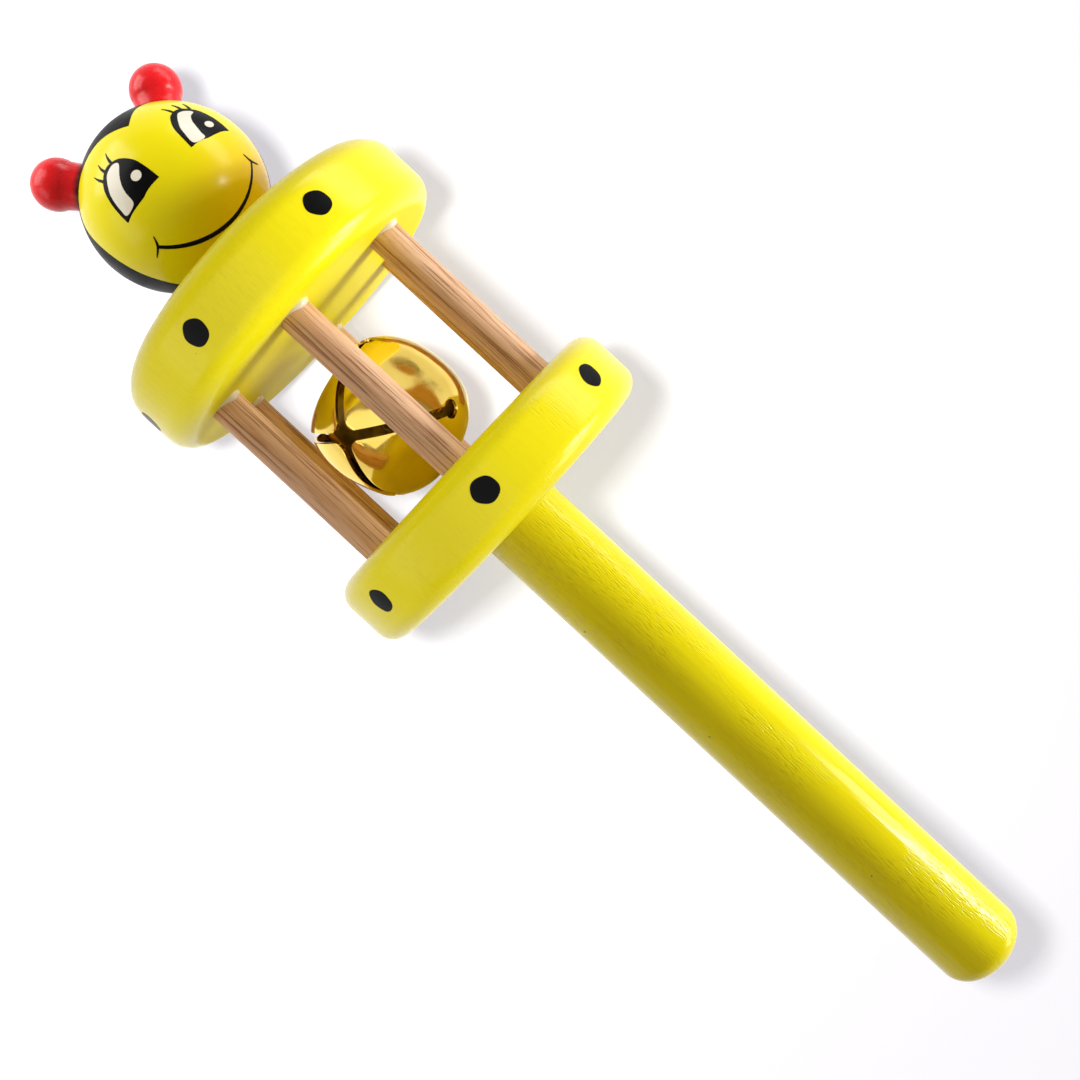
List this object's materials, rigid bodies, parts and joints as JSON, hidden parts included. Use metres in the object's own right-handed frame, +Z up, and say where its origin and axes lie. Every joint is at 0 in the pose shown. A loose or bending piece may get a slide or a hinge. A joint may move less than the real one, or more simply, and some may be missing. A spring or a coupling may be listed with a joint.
{
  "type": "bell rattle",
  "caption": "Child's wooden bell rattle: a dowel handle, a cage of bars between turned discs with a loose jingle bell inside, and a ball head with antennae.",
  "frame": {"origin": "under the middle of the rattle's length, on the surface that its two discs rest on", "axes": "+X along the rattle from the handle to the head, +Z up through the front bar, so the painted face looks up; the rattle's axis is at the discs' radius above the origin"},
  "size_m": [0.2024, 0.0588, 0.0589],
  "materials": {
    "yellow_enamel": "gloss lemon-yellow enamel on turned wood",
    "head_enamel": "gloss yellow enamel with a painted face and a satin black back, on a turned wooden ball",
    "red_enamel": "gloss red enamel on turned wood",
    "bamboo": "bare bamboo dowel with dark grain lines",
    "bare_wood": "bare sanded wood",
    "gold_plate": "polished gold plate on stamped sheet",
    "pellet_steel": "plain steel ball"
  },
  "bodies": {
    "rattle": {"handle": "yellow_enamel", "lower_disc": "yellow_enamel", "upper_disc": "yellow_enamel", "bar_1": "bamboo", "bar_2": "bamboo", "bar_3": "bamboo", "bar_4": "bamboo", "bar_5": "bamboo", "bar_6": "bamboo", "neck_peg": "bare_wood", "head": "head_enamel", "antenna_left": "red_enamel", "antenna_right": "red_enamel"},
    "bell": {"bell_shell": "gold_plate", "bell_loop": "gold_plate"},
    "pellet": {"bell_pellet": "pellet_steel"}
  },
  "joints": [
    {"name": "bell_slide", "type": "slide", "parent": "rattle", "child": "bell", "axis": [1, 0, 0], "range_m": [-0.0008, 0.0058]},
    {"name": "pellet_roll", "type": "hinge", "parent": "bell", "child": "pellet", "pos_m": [0.03145, 0.00257, 0.02499], "axis": [0.1683, 0.518, 0.8387], "continuous": true}
  ]
}
